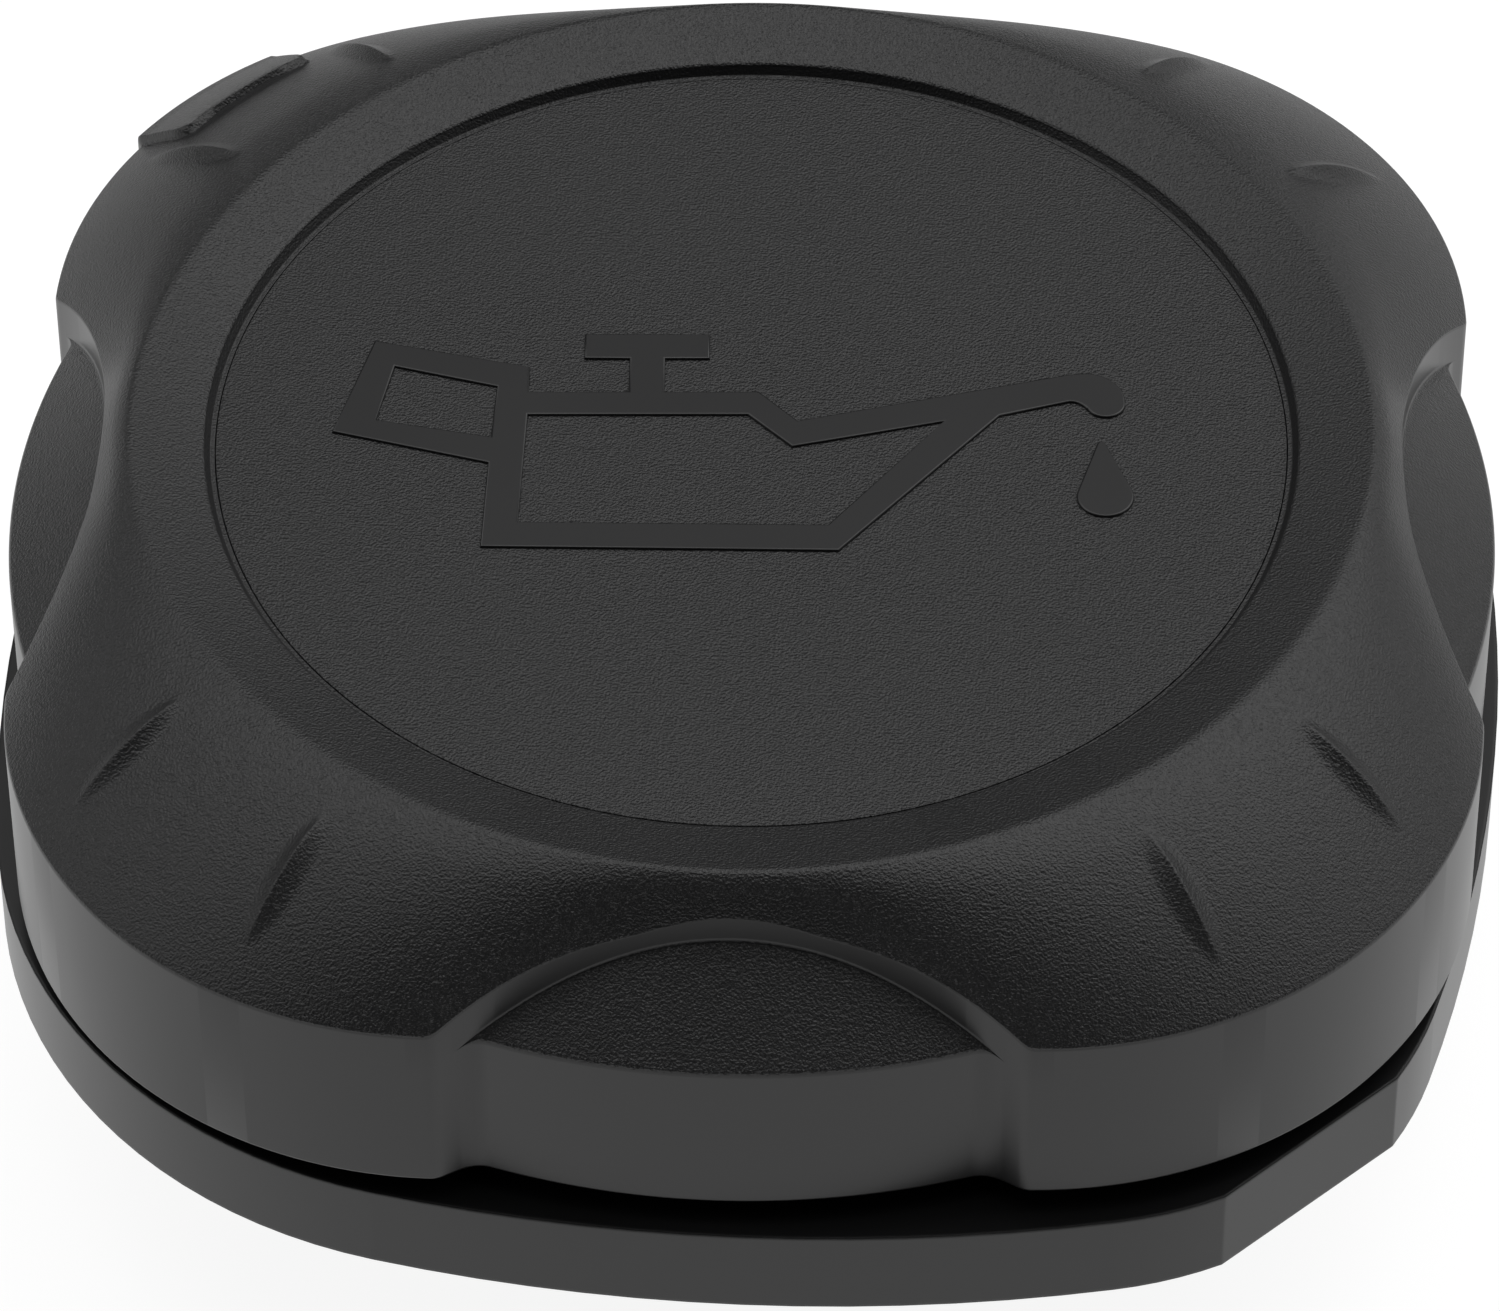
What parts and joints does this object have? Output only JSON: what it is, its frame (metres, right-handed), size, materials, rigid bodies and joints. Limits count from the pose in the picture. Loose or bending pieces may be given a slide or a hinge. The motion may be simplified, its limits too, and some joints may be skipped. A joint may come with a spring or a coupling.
{
  "type": "oil filler cap",
  "caption": "Black engine oil filler cap: four-lobed hand grip with a recessed disc over a flange plate, bayonet neck and rubber seal ring.",
  "frame": {"origin": "middle of the end face of the neck, on the cap's axis", "axes": "+Z along the cap's axis towards the hand grip; +X to the right of the oil can symbol as it is read, +Y to its top"},
  "size_m": [0.0744, 0.0744, 0.0345],
  "materials": {
    "grip_plastic": "black glass-filled plastic, fine grain on top, smooth sides",
    "disc_plastic": "black plastic, fine grain with a smooth raised symbol",
    "body_plastic": "smooth black glass-filled plastic",
    "seal_rubber": "matt black oil-proof rubber"
  },
  "bodies": {
    "root": {"grip_shell": "grip_plastic", "centre_disc": "disc_plastic", "closure_body": "body_plastic", "seal_ring": "seal_rubber"}
  },
  "joints": []
}
